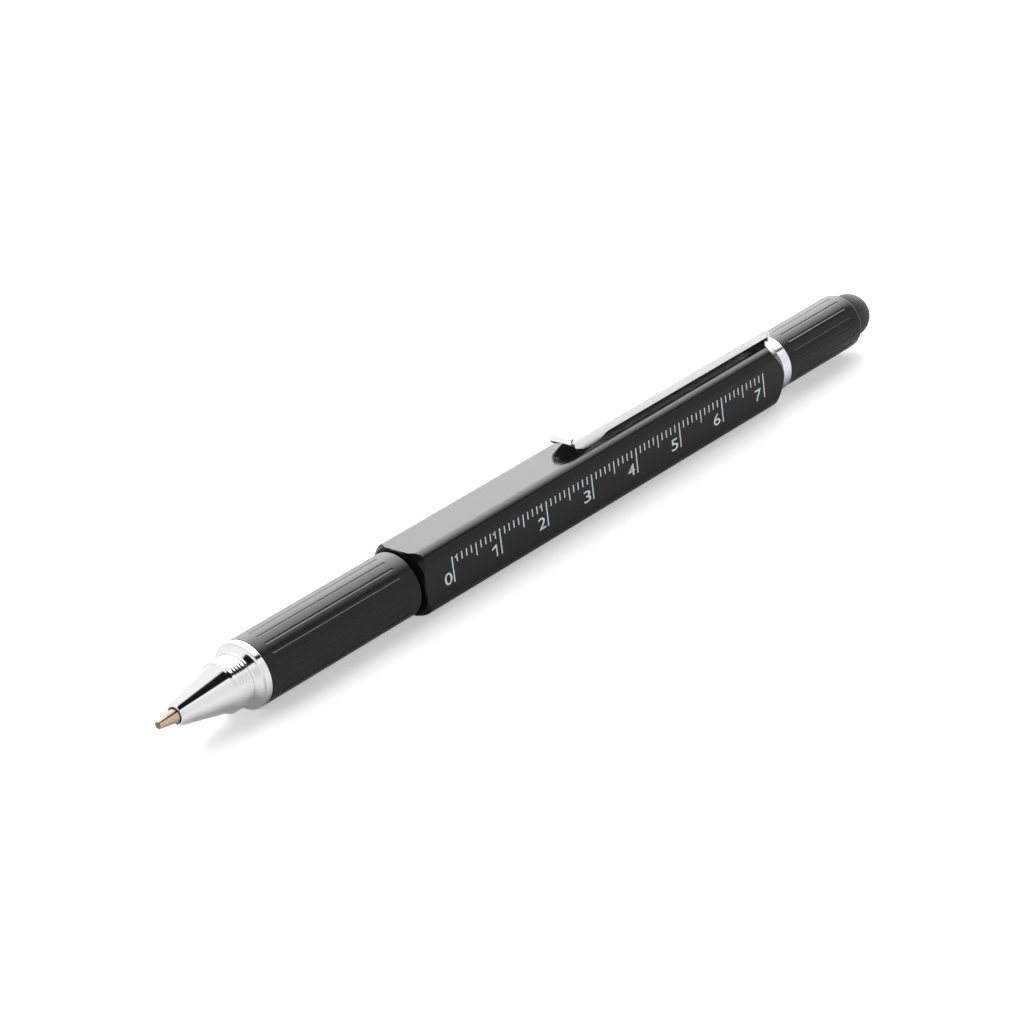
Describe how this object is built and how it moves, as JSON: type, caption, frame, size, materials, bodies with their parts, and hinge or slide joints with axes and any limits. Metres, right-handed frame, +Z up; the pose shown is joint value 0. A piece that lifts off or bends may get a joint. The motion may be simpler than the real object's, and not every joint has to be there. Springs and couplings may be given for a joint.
{
  "type": "multi tool pen",
  "caption": "Twist ballpoint pen with a square ruler barrel, spirit level, spring clip, screwdriver bit under a screw cap and a touch-screen stylus tip.",
  "frame": {"origin": "on the surface that the pen lies on, below the middle of its length", "axes": "+X along the pen from the writing tip to the stylus, +Z up through the clip, -Y out of the side that carries the ruler"},
  "size_m": [0.1538, 0.0098, 0.0119],
  "materials": {
    "satin_black": "satin black anodised",
    "gloss_black": "semi-gloss black anodised, with a white printed ruler",
    "chrome": "polished",
    "clip_chrome": "polished",
    "bronze": "turned",
    "tungsten": "polished",
    "refill_metal": "plain",
    "ink_blue": "wet",
    "brass": "turned",
    "sleeve_plastic": "moulded",
    "housing_plastic": "moulded",
    "pin_steel": "ground",
    "ring_rubber": "matt",
    "vial_clear": "clear",
    "vial_plug": "moulded",
    "level_green": "clear yellow green liquid",
    "bubble_clear": "clear",
    "magnet_nickel": "nickel plated",
    "bit_steel": "satin",
    "plug_plastic": "moulded",
    "dome_rubber": "matt, conductive"
  },
  "bodies": {
    "barrel": {"barrel": "gloss_black", "front_bushing": "gloss_black", "mechanism_housing": "housing_plastic", "housing_plug": "housing_plastic", "level_vial": "vial_clear", "level_plugs": "vial_plug", "level_fluid": "level_green", "bit_holder": "brass", "rear_ring": "chrome", "bit_magnet": "magnet_nickel"},
    "grip": {"front_grip": "satin_black", "grip_insert": "brass", "cam_sleeve": "sleeve_plastic", "friction_ring": "ring_rubber"},
    "nose": {"nose_cone": "chrome", "front_ring": "chrome"},
    "refill": {"refill_carrier": "housing_plastic", "cam_pin": "pin_steel", "refill_tube": "refill_metal", "refill_tip": "bronze", "ink": "ink_blue"},
    "ball": {"writing_ball": "tungsten"},
    "clip": {"clip": "clip_chrome"},
    "bubble": {"level_bubble": "bubble_clear"},
    "cap_core": {"cap_insert": "brass"},
    "cap": {"rear_cap": "satin_black", "trim_ring": "chrome", "stylus_plug": "plug_plastic", "stylus_dome": "dome_rubber"},
    "bit": {"screwdriver_bit": "bit_steel"}
  },
  "joints": [
    {"name": "grip_twist", "type": "hinge", "parent": "barrel", "child": "grip", "pos_m": [-0.04345, 0, 0.00487], "axis": [1, 0, 0], "range_deg": [0, 180]},
    {"name": "refill_slide", "type": "slide", "parent": "barrel", "child": "refill", "axis": [1, 0, 0], "range_m": [0, 0.005]},
    {"name": "ball_roll", "type": "hinge", "parent": "refill", "child": "ball", "pos_m": [-0.07645, 0, 0.00487], "axis": [0, 1, 0], "continuous": true},
    {"name": "nose_pull_off", "type": "slide", "parent": "grip", "child": "nose", "axis": [-1, 0, 0], "range_m": [0, 0.03]},
    {"name": "clip_flex", "type": "hinge", "parent": "barrel", "child": "clip", "pos_m": [0.0512, 0, 0.00927], "axis": [0, 1, 0], "range_deg": [0, 3], "stiffness_Nm_per_rad": 1, "springref_deg": -1.15},
    {"name": "bubble_slide", "type": "slide", "parent": "barrel", "child": "bubble", "axis": [1, 0, 0], "range_m": [-0.003, 0.003]},
    {"name": "cap_pull_off", "type": "slide", "parent": "barrel", "child": "cap_core", "axis": [1, 0, 0], "range_m": [0, 0.04]},
    {"name": "cap_turn", "type": "hinge", "parent": "cap_core", "child": "cap", "pos_m": [0.05655, 0, 0.00487], "axis": [1, 0, 0], "range_deg": [-1440, 0]},
    {"name": "bit_draw", "type": "slide", "parent": "barrel", "child": "bit", "axis": [1, 0, 0], "range_m": [0, 0.022]}
  ],
  "couplings": [
    {"joint": "refill_slide", "follows": "grip_twist", "m_per_rad": 0.0015915},
    {"joint": "bit_draw", "follows": "cap_pull_off", "ratio": 0.55}
  ]
}
